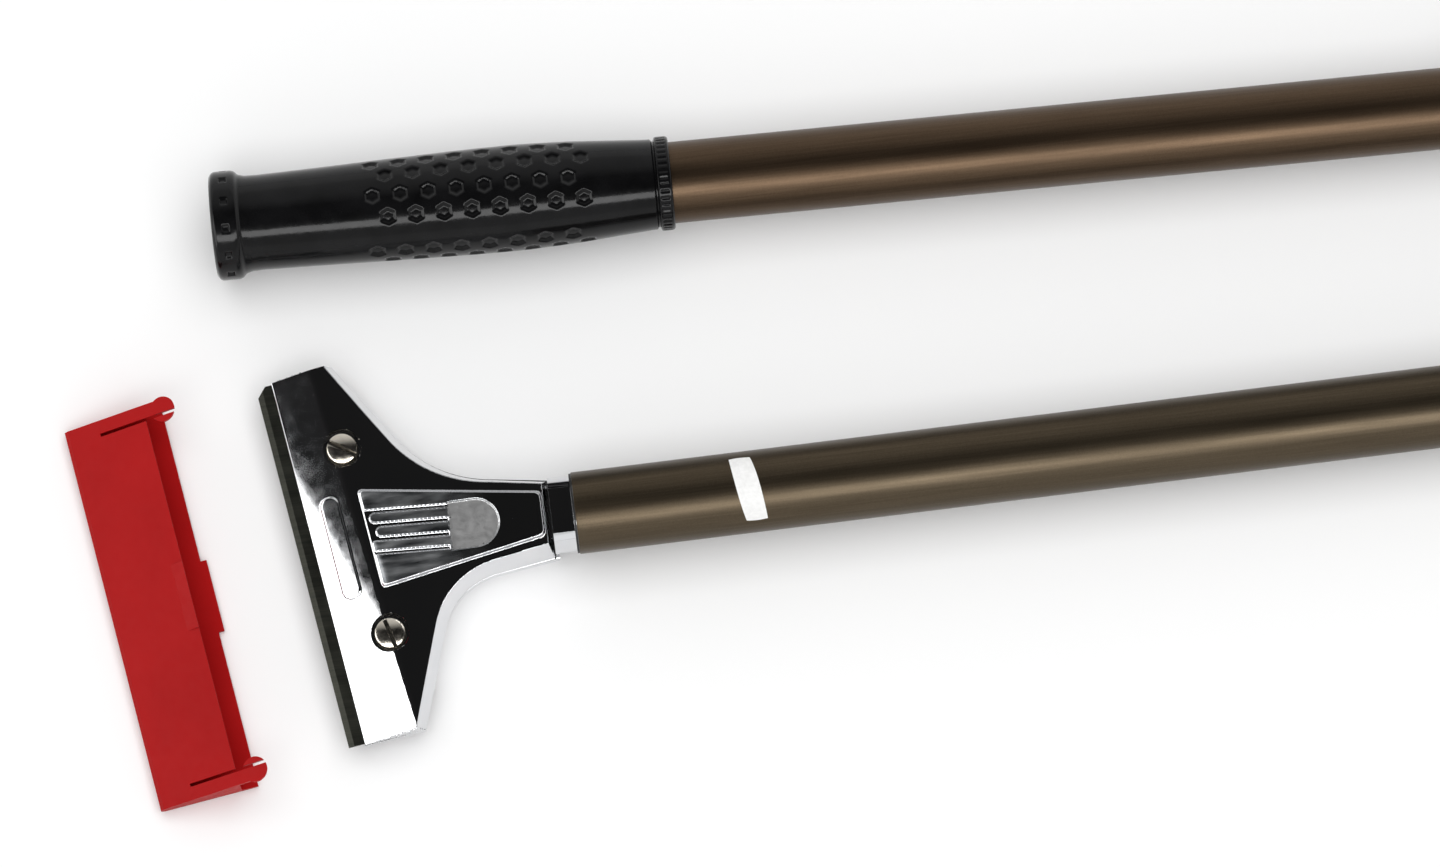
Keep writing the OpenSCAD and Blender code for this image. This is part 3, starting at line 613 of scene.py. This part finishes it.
def buildJaw():
    print("front jaw")
    depths = np.arange(0, jaw["depth"], jaw["grid"])
    count = int(round(2 * head["lipHalf"] / jaw["grid"]))
    alongs = np.linspace(-head["lipHalf"], head["lipHalf"], count + 1)
    depth, along = np.meshgrid(depths, alongs, indexing="ij")
    depth, along = snapToBores(*snapToLines(depth, along))
    z, x, y, hollowInside, skinAndPaintedShade = jawHeights(depth, along)
    rows, cols = z.shape
    mesh = bpy.data.meshes.new("jawCasting")
    bm = bmesh.new()
    keep = z > jaw["bottom"] - 0.9
    keepCell = keep[:-1, :-1] | keep[1:, :-1] | keep[:-1, 1:] | keep[1:, 1:]
    used = np.zeros(z.shape, bool)
    for a in (0, 1):
        for b in (0, 1):
            used[a:rows - 1 + a, b:cols - 1 + b] |= keepCell
    index = -np.ones(z.shape, int)
    order = np.argwhere(used)
    index[used] = np.arange(len(order))
    normals = jawNormals(depth, along)
    leaning = bm.verts.layers.float_vector.new("leaning")
    made = [bm.verts.new((x[i, j] * mm, y[i, j] * mm, z[i, j] * mm)) for i, j in order]
    for vert, (i, j) in zip(made, order):
        vert[leaning] = normals[i, j]
    for i, j in np.argwhere(keepCell):
        quad = (index[i, j], index[i + 1, j], index[i + 1, j + 1], index[i, j + 1])
        face = bm.faces.new([made[k] for k in quad])
        face.smooth = True
        # the thumb hollow takes the satin chrome, whose darker base colour is painted shade
        if hollowInside[i:i + 2, j:j + 2].min() > -0.05:
            face.material_index = 1
        # the pad's skin takes the rib chrome, whose darker base colour is partly painted shade
        elif skinAndPaintedShade[i:i + 2, j:j + 2].all():
            face.material_index = 2
    bmesh.ops.bisect_plane(bm, geom=bm.verts[:] + bm.edges[:] + bm.faces[:], dist=1e-7,
                           plane_co=(0, 0, jaw["bottom"] * mm), plane_no=(0, 0, 1), clear_inner=True)
    # side walls down to the parting face, then the parting face itself
    justAbove = (jaw["bottom"] + 0.01) * mm
    openEdges = [e for e in bm.edges if e.is_boundary and max(v.co.z for v in e.verts) > justAbove]
    grown = bmesh.ops.extrude_edge_only(bm, edges=openEdges)
    for v in [g for g in grown["geom"] if isinstance(g, bmesh.types.BMVert)]:
        v.co.z = jaw["bottom"] * mm
    lowVerts = [v for v in bm.verts if v.co.z < (jaw["bottom"] + 0.02) * mm]
    bmesh.ops.remove_doubles(bm, verts=lowVerts, dist=0.00001)
    bmesh.ops.dissolve_degenerate(bm, edges=bm.edges[:], dist=1e-7)
    bmesh.ops.contextual_create(bm, geom=[e for e in bm.edges if e.is_boundary])
    for f in bm.faces:
        if len(f.verts) > 4 and abs(f.normal.z) > 0.99:
            f.smooth = False
            f.material_index = 0
    bmesh.ops.recalc_face_normals(bm, faces=bm.faces[:])
    bm.to_mesh(mesh)
    bm.free()
    for material in (chrome, satinChromePaintedShade, ribChromePaintedShade):
        mesh.materials.append(material)
    mesh.set_sharp_from_angle(angle=math.radians(jaw["sharperThan"]))
    leaning = [Vector(item.vector) for item in mesh.attributes["leaning"].data]
    split = [Vector((0, 0, 0))] * len(mesh.loops)
    for face in mesh.polygons:
        if face.normal.z > 0.03:
            for k in face.loop_indices:
                split[k] = leaning[mesh.loops[k].vertex_index]
    mesh.normals_split_custom_set(split)
    mesh.attributes.remove(mesh.attributes["leaning"])
    piece = bpy.data.objects.new("jawCasting", mesh)
    bpy.context.scene.collection.objects.link(piece)
    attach(piece, "jaw")
    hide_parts("front_jaw")


buildJaw()


# the two handle tubes, mm
tubes = {"outer": 11.1, "bore": 10.0, "length": 406.0, "endRound": 0.25, "plugFace": 2.3, "sides": 128,
         "rings": 24, "sharperThan": 38}


def tubeProfile(start, length):
    r, b, c = tubes["outer"], tubes["bore"], tubes["endRound"]
    end = start + length
    steps = list(np.linspace(start + 2, end - 2, tubes["rings"]))
    return ([(start, b + c), (start, r - c), (start + c * 0.3, r - c * 0.3), (start + c, r)]
            + [(step, r) for step in steps]
            + [(end - c, r), (end - c * 0.3, r - c * 0.3), (end, r - c), (end, b + c), (end - c, b)]
            + [(step, b) for step in steps[::-1]] + [(start + c, b)])


def buildTubes():
    print("handle tubes")
    lower = turnedPiece("headTube", tubeProfile(0, tubes["length"]), tubes["sides"], "head_section",
                        lowerBronze, base=(handle["mouth"], 0))
    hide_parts("head_tube")
    upper = turnedPiece("gripTube", tubeProfile(tubes["plugFace"], tubes["length"]), tubes["sides"],
                        "grip_section", upperBronze, handle["layAngle"], handle["layPoint"])
    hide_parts("grip_tube")


buildTubes()


# the vinyl grip, with its flange dimples, its dimple field and its notched collar; mm and degrees
grip = {
    "length": 125.0, "bore": 11.1, "rings": 380, "sides": 264, "sharperThan": 60,
    # place along the grip from the flange's outer face, and radius there
    "knots": ((0.0, 13.4), (0.5, 14.45), (1.4, 14.85), (5.9, 14.85), (6.9, 14.5), (7.8, 13.5), (9.5, 13.05),
              (13, 12.95), (30, 13.35), (48, 13.85), (70, 14.35), (84, 14.45), (98, 13.9), (110, 13.0),
              (119, 12.35), (120.3, 12.3), (120.45, 11.75), (121.05, 11.75), (121.2, 12.65), (121.5, 12.8),
              (124.5, 12.8), (124.85, 12.55), (125.0, 12.2)),
    "fineTo": 9.0, "fineFrom": 119.5, "smoothFrom": 14.0, "smoothTo": 116.0,
    # the dimple field: rows round the grip, each angle measured from straight up
    "dimpleSize": 4.4, "dimplePitch": 7.6, "dimpleDepth": 0.75, "dimpleStart": 44.0, "dimpleRows": 8,
    "dimpleRadius": 13.9, "rowAngles": (54, 32, 6, -19, -66, -89, 106, 131, 155, 180, 205, 228),
    "fieldMiddle": 72.0, "fieldHalf": 31.0,
    # square dimples round the flange, and the notches round the collar
    "flangeDimples": 12, "flangeRadius": 14.85, "flangeMiddle": 3.9, "flangeDepth": 0.6,
    "flangeHalf": (0.6, 1.2),
    "notchRadius": 12.8, "notchPitch": 1.9, "notchDepth": 0.28, "notchHalf": (0.18, 0.4),
    "notchBand": (121.6, 122.0, 123.9, 124.3),
}


def wrapDistance(turn, middle, radius):
    # distance round the grip from a line along it
    return ((turn - middle + math.pi) % (2 * math.pi) - math.pi) * radius


def gripRadii(places):
    # the knots joined up, with the corners of the long middle eased and the rest only softened
    knotPlaces, knotRadii = zip(*grip["knots"])
    radii = np.interp(places, knotPlaces, knotRadii)
    eased = np.convolve(np.pad(radii, 12, "edge"), np.ones(25) / 25, "valid")
    softened = np.convolve(np.pad(radii, 1, "edge"), np.ones(3) / 3, "valid")
    return np.where((places > grip["smoothFrom"]) & (places < grip["smoothTo"]), eased, softened)


def gripCarving(a, t):
    carve = np.zeros(a.shape)
    size = grip["dimpleSize"] / 2
    for number, angle in enumerate(grip["rowAngles"]):
        across = wrapDistance(t, math.radians(90 - angle), grip["dimpleRadius"])
        shift = grip["dimplePitch"] / 2 if number % 2 else 0
        for k in range(grip["dimpleRows"]):
            place = grip["dimpleStart"] + shift + k * grip["dimplePitch"]
            if abs(place - grip["fieldMiddle"]) > grip["fieldHalf"]:
                continue
            du, dv = np.abs(a - place), np.abs(across)
            hexagon = np.maximum(du, 0.5 * du + 0.87 * dv)
            wall = smoothStep(size * 0.55, size * 1.08, hexagon)
            carve = np.maximum(carve, grip["dimpleDepth"] * (1 - wall))
    for k in range(grip["flangeDimples"]):
        across = wrapDistance(t, 2 * math.pi * (k + 0.5) / grip["flangeDimples"], grip["flangeRadius"])
        square = np.maximum(np.abs(a - grip["flangeMiddle"]), np.abs(across))
        carve = np.maximum(carve, grip["flangeDepth"] * (1 - smoothStep(*grip["flangeHalf"], square)))
    pitch, (rise0, rise1, fall0, fall1) = grip["notchPitch"], grip["notchBand"]
    notch = np.abs(((t * grip["notchRadius"] + 0.7) % pitch) - pitch / 2)
    band = smoothStep(rise0, rise1, a) * (1 - smoothStep(fall0, fall1, a))
    return np.maximum(carve, grip["notchDepth"] * band * (1 - smoothStep(*grip["notchHalf"], notch)))


def gripPlace(along, radius, turn):
    c, s = math.cos(math.radians(handle["layAngle"])), math.sin(math.radians(handle["layAngle"]))
    across, up = radius * np.cos(turn), radius * np.sin(turn)
    return (handle["layPoint"][0] + (along * c - across * s) * mm,
            handle["layPoint"][1] + (along * s + across * c) * mm, handle["axisHeight"] + up * mm)


def buildGrip():
    print("hand grip")
    places = np.concatenate([np.linspace(0, grip["fineTo"], 45),
                             np.linspace(grip["fineTo"], grip["fineFrom"], grip["rings"])[1:],
                             np.linspace(grip["fineFrom"], grip["length"], 40)[1:]])
    turns = np.linspace(0, 2 * math.pi, grip["sides"], endpoint=False)
    a, t = np.meshgrid(places, turns, indexing="ij")
    r = gripRadii(places)[:, None] - gripCarving(a, t)
    verts = np.stack(gripPlace(a, r, t), -1).reshape(-1, 3).tolist()
    for at in (grip["length"], 0.0):
        x, y, z = gripPlace(at, grip["bore"], turns)
        verts += np.stack([x, y, z], -1).tolist()
    faces = []
    loops, sides = len(places) + 2, grip["sides"]
    for i in range(loops):
        j = (i + 1) % loops
        for k in range(sides):
            m = (k + 1) % sides
            faces.append((i * sides + k, i * sides + m, j * sides + m, j * sides + k))
    piece = newPiece("gripSkin", verts, faces, "grip_section", vinyl)
    piece.data.set_sharp_from_angle(angle=math.radians(grip["sharperThan"]))
    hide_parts("hand_grip")


buildGrip()


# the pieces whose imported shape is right: a finish and rounded edges only
print("head body, guard and small pieces")
dressing = {                                                # finish, and edge width in mm
    "head_body": (chrome, 0.3), "blade_guard": (redPlastic, 0.28), "scraper_blade": (bluedSteel, 0.06),
    "upper_screw": (nickel, 0.16), "lower_screw": (nickel, 0.16),
    "upper_washer": (nickel, 0.1), "lower_washer": (nickel, 0.1),
    "tang_pin": (nickel, 0.2), "neck_seal": (sealRubber, 0), "grip_end_plug": (vinyl, 0.5),
    "joining_sleeve": (sleeveBlack, 0.3),
    "front_thumb_screw": (knurledNickel, 0.12), "rear_thumb_screw": (knurledNickel, 0.12),
}
for nodeName, (material, width) in dressing.items():
    dress(nodeName, material, width)


# the blank sticker, wrapped round the tube; mm and degrees
sticker = {"place": 47.0, "length": 6.5, "width": 19.0, "twist": 8.5, "turn": -3.0,
           "lifts": (0.02, 0.1), "endNarrow": 0.12, "bulge": 0.28, "rows": 26, "columns": 40,
           "sharperThan": 40}


def buildSticker():
    print("sticker")
    verts, faces = [], []
    rows, columns = sticker["rows"], sticker["columns"]
    for lift in sticker["lifts"]:
        for i in range(rows + 1):
            v = i / rows * 2 - 1                                # across the handle
            for j in range(columns + 1):
                u = j / columns * 2 - 1                         # along the handle
                half = sticker["length"] / 2 * (1 - sticker["endNarrow"] * v * v)
                w = sticker["width"] / 2 * v + sticker["bulge"] * v * (1 - u * u)
                a = sticker["place"] + half * u + math.tan(math.radians(sticker["twist"])) * -w
                r = tubes["outer"] + lift
                turn = w / tubes["outer"] + math.radians(sticker["turn"])
                verts.append((handle["mouth"] + a * mm, r * math.sin(turn) * mm,
                              handle["axisHeight"] + r * math.cos(turn) * mm))
    layer = (rows + 1) * (columns + 1)
    for i in range(rows):
        for j in range(columns):
            a = i * (columns + 1) + j
            b, c, d = a + 1, a + columns + 2, a + columns + 1
            faces += [(a, d, c, b), (layer + a, layer + b, layer + c, layer + d)]
    ring = (list(range(columns)) + [i * (columns + 1) + columns for i in range(rows)]
            + [rows * (columns + 1) + j for j in range(columns, 0, -1)]
            + [i * (columns + 1) for i in range(rows, 0, -1)])
    for a, b in zip(ring, ring[1:] + ring[:1]):
        faces.append((a, b, layer + b, layer + a))
    piece = newPiece("blankSticker", verts, faces, "head_section", labelPaper)
    piece.data.set_sharp_from_angle(angle=math.radians(sticker["sharperThan"]))
    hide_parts("origin_label")


buildSticker()


# floor and light; sizes in metres, powers in watts, the card's line in mm on the bevel
studio = {
    "floorSize": 6.0, "floorDrop": 0.0004, "floorColour": 0.95,
    "byHeight": ((0.0, 1.1), (0.3, 1.1), (0.5, 0.02), (1.0, 0.012)),        # straight up is 1
    "bySide": ((0.0, 0.0), (0.3, 0.0), (0.62, 0.62), (1.0, 0.9)),           # sideways from the handle
    "fillPlace": (0.1, 0.0, 1.8), "fillAim": (0.1, 0, 0), "fillSize": (2.4, 2.4), "fillPower": 36.0,
    "stripPlace": (0.2, -0.75, 1.1), "stripAim": (0.2, 0.03, 0.0), "stripSize": (2.4, 0.35),
    "stripPower": 20.0,
    "cardLine": ((0.0, 25.0), (13.0, -20.0)), "cardAway": 0.4, "cardSize": (0.4, 0.26), "cardPower": 1.1,
}


def buildFloor():
    print("floor")
    h = studio["floorSize"] / 2
    mesh = bpy.data.meshes.new("studioFloor")
    mesh.from_pydata([(-h, -h, 0), (h, -h, 0), (h, h, 0), (-h, h, 0)], [], [(0, 1, 2, 3)])
    floor = bpy.data.objects.new("studioFloor", mesh)
    bpy.context.scene.collection.objects.link(floor)
    f = Finish("paleFloor", Specular_IOR_Level=0.1)
    f.colour(f.noise(3, 3), [(0.3, grey(studio["floorColour"])), (0.7, grey(studio["floorColour"] + 0.01))])
    f.rough(f.noise(30, 3), 0.7, 0.8)
    mesh.materials.append(f.material)
    floor.location.z = -studio["floorDrop"]


def buildSky():
    # bright all round near the horizon and dark straight overhead, so that flat chrome reads dark
    world = bpy.data.worlds.new("studioSky")
    bpy.context.scene.world = world
    world.use_nodes = True
    tree = world.node_tree
    background = tree.nodes["Background"]
    place = tree.nodes.new("ShaderNodeTexCoord")
    split = tree.nodes.new("ShaderNodeSeparateXYZ")
    tree.links.new(place.outputs["Generated"], split.inputs[0])
    across = tree.nodes.new("ShaderNodeMath")
    across.operation = "ABSOLUTE"
    tree.links.new(split.outputs["Y"], across.inputs[0])
    brighter = tree.nodes.new("ShaderNodeMix")
    brighter.data_type = "RGBA"
    brighter.blend_type = "LIGHTEN"
    brighter.inputs["Factor"].default_value = 1.0
    for source, socket, stops in ((split.outputs["Z"], 6, studio["byHeight"]),
                                  (across.outputs[0], 7, studio["bySide"])):
        ramp = tree.nodes.new("ShaderNodeValToRGB")
        elements = ramp.color_ramp.elements
        while len(elements) < len(stops):
            elements.new(0.5)
        for element, (position, value) in zip(elements, stops):
            element.position = position
            element.color = (value, value, value, 1)
        tree.links.new(source, ramp.inputs["Fac"])
        tree.links.new(ramp.outputs["Color"], brighter.inputs[socket])
    tree.links.new(brighter.outputs[2], background.inputs["Color"])
    background.inputs["Strength"].default_value = 1.0


def areaLight(name, place, aim, size, power, glossy=True, diffuse=True):
    data = bpy.data.lights.new(name, "AREA")
    data.shape = "RECTANGLE"
    data.size, data.size_y = size
    data.energy = power
    lamp = bpy.data.objects.new(name, data)
    bpy.context.scene.collection.objects.link(lamp)
    lamp.location = place
    lamp.rotation_mode = "QUATERNION"
    lamp.rotation_quaternion = (Vector(aim) - Vector(place)).to_track_quat("-Z", "Y")
    lamp.visible_camera = False
    lamp.visible_glossy = glossy
    lamp.visible_diffuse = diffuse
    return lamp


# where it is looked at from: degrees, metres, and the lens in mm
view = {"azimuth": -7.12, "elevation": 80.0, "target": (0.0835, 0.01685, 0.01485), "distance": 2.0,
        "lens": 184.9, "sensor": 36.0, "clip": (0.01, 50)}
azimuth, elevation = math.radians(view["azimuth"]), math.radians(view["elevation"])
viewBack = Vector((math.sin(azimuth) * math.cos(elevation), -math.cos(azimuth) * math.cos(elevation),
                   math.sin(elevation)))
viewPlace = Vector(view["target"]) + viewBack * view["distance"]


def buildCard():
    # a white card high in front that only the chrome mirrors: the bevel's near end shows it, and its edge
    # crosses the bevel slantwise, from one place to the other of cardLine
    slope, skew = math.atan(jaw["bevelSlope"]), math.radians(head["skew"])
    normal = Vector((-math.sin(slope) * math.cos(skew), -math.sin(slope) * math.sin(skew), math.cos(slope)))
    ends, directions = [], []
    for depth, along in studio["cardLine"]:
        x, y = lipToWorld(depth, along)
        spot = Vector((x, y, jaw["lipHeight"] + jaw["bevelSlope"] * depth)) * mm
        toView = (viewPlace - spot).normalized()
        directions.append(2 * normal.dot(toView) * normal - toView)
        ends.append(spot + directions[-1] * studio["cardAway"])
    seen = (directions[0] + directions[1]).normalized()
    edge = ends[1] - ends[0]
    edge = (edge - seen * edge.dot(seen)).normalized()
    side = seen.cross(edge)
    side = side if side.y < 0 else -side
    middle = (ends[0] + ends[1]) / 2 + side * studio["cardSize"][1] / 2
    card = areaLight("bevelCard", middle, middle - seen, studio["cardSize"], studio["cardPower"],
                     diffuse=False)
    card.rotation_quaternion = Matrix((edge, seen.cross(edge), seen)).transposed().to_quaternion()


def buildLights():
    print("lights")
    buildSky()
    # big soft overhead fill that mirrors don't see
    areaLight("overheadFill", studio["fillPlace"], studio["fillAim"], studio["fillSize"], studio["fillPower"],
              glossy=False)
    # long strip on the near side for the sheen along the tubes
    areaLight("sheenStrip", studio["stripPlace"], studio["stripAim"], studio["stripSize"],
              studio["stripPower"], diffuse=False)
    buildCard()


def buildCamera():
    print("camera")
    right = Vector((math.cos(azimuth), math.sin(azimuth), 0))
    data = bpy.data.cameras.new("studioCamera")
    data.sensor_width = view["sensor"]
    data.lens = view["lens"]
    data.clip_start, data.clip_end = view["clip"]
    camera = bpy.data.objects.new("studioCamera", data)
    bpy.context.scene.collection.objects.link(camera)
    camera.location = viewPlace
    camera.rotation_mode = "QUATERNION"
    camera.rotation_quaternion = Matrix((right, viewBack.cross(right), viewBack)).transposed().to_quaternion()
    bpy.context.scene.camera = camera


buildFloor()
buildLights()
buildCamera()
bpy.context.scene.view_settings.view_transform = "Standard"
